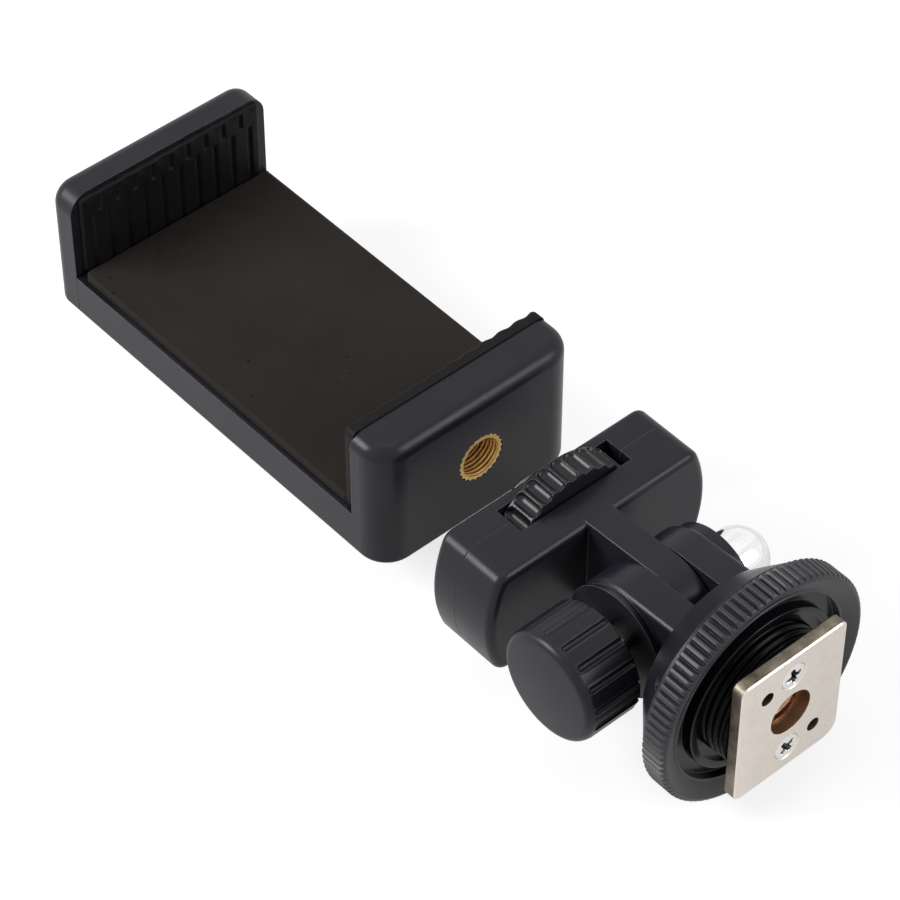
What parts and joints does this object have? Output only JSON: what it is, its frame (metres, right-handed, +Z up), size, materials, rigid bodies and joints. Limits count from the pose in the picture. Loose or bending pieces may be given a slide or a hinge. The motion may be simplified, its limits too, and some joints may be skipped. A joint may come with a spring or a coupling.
{
  "type": "tripod phone mount adapter",
  "caption": "Spring phone clamp with a threaded socket, beside a tilting adapter with a captive thumbwheel screw, tilt knob, knurled lock ring and metal shoe foot.",
  "frame": {"origin": "on the common screw axis, at the mouth of the clamp's threaded socket", "axes": "+X along the screw axis from the clamp to the shoe foot, +Z up from the channel to the phone's side, +Y towards the cap nut"},
  "size_m": [0.1321, 0.0407, 0.0358],
  "materials": {
    "black_plastic": "fine satin moulding",
    "black_rubber": "matt",
    "foam_pad": "fine closed-cell foam",
    "brass": "machined",
    "zinc_steel": "zinc plated",
    "chrome": "bright",
    "nickel": "satin nickel"
  },
  "bodies": {
    "shoe_base": {"fork_base": "black_plastic", "pivot_bolt": "zinc_steel", "nut_washer": "zinc_steel", "dome_nut": "chrome", "knob_washer": "zinc_steel", "shoe_plate": "nickel", "shoe_screws": "zinc_steel", "shoe_insert": "brass"},
    "ring": {"lock_ring": "black_plastic"},
    "tilt_knob": {"knob": "black_plastic", "knob_insert": "brass"},
    "cross_block": {"block_front": "black_plastic", "block_rear": "black_plastic", "block_screws": "zinc_steel", "face_pad": "black_rubber"},
    "screw_wheel": {"thumbwheel": "black_plastic", "thumb_screw": "zinc_steel"},
    "phone_clamp": {"clamp_body": "black_plastic", "back_plate": "black_plastic", "back_pad": "foam_pad", "fixed_jaw_pad": "black_rubber", "clamp_insert": "brass", "cover_screws": "zinc_steel", "clamp_springs": "zinc_steel", "fixed_spring_pins": "zinc_steel"},
    "sliding_jaw": {"clamp_slider": "black_plastic", "sliding_jaw_pad": "black_rubber", "slider_spring_pins": "zinc_steel"}
  },
  "joints": [
    {"name": "ring_turn", "type": "hinge", "parent": "shoe_base", "child": "ring", "pos_m": [0.0527, 0, 0], "axis": [1, 0, 0], "continuous": true},
    {"name": "knob_turn", "type": "hinge", "parent": "shoe_base", "child": "tilt_knob", "pos_m": [0.0361, -0.016, 0], "axis": [0, -1, 0], "continuous": true},
    {"name": "tilt", "type": "hinge", "parent": "shoe_base", "child": "cross_block", "pos_m": [0.0361, 0, 0], "axis": [0, 1, 0], "range_deg": [-75, 90]},
    {"name": "thumbwheel_turn", "type": "hinge", "parent": "cross_block", "child": "screw_wheel", "pos_m": [0.0165, 0, 0], "axis": [1, 0, 0], "continuous": true},
    {"name": "clamp_attach", "type": "slide", "parent": "cross_block", "child": "phone_clamp", "axis": [1, 0, 0], "range_m": [0, 0.0114]},
    {"name": "jaw_slide", "type": "slide", "parent": "phone_clamp", "child": "sliding_jaw", "axis": [-1, 0, 0], "range_m": [0, 0.03], "stiffness_N_per_m": 180, "springref_m": -0.02, "deforming": ["clamp_springs"]}
  ]
}
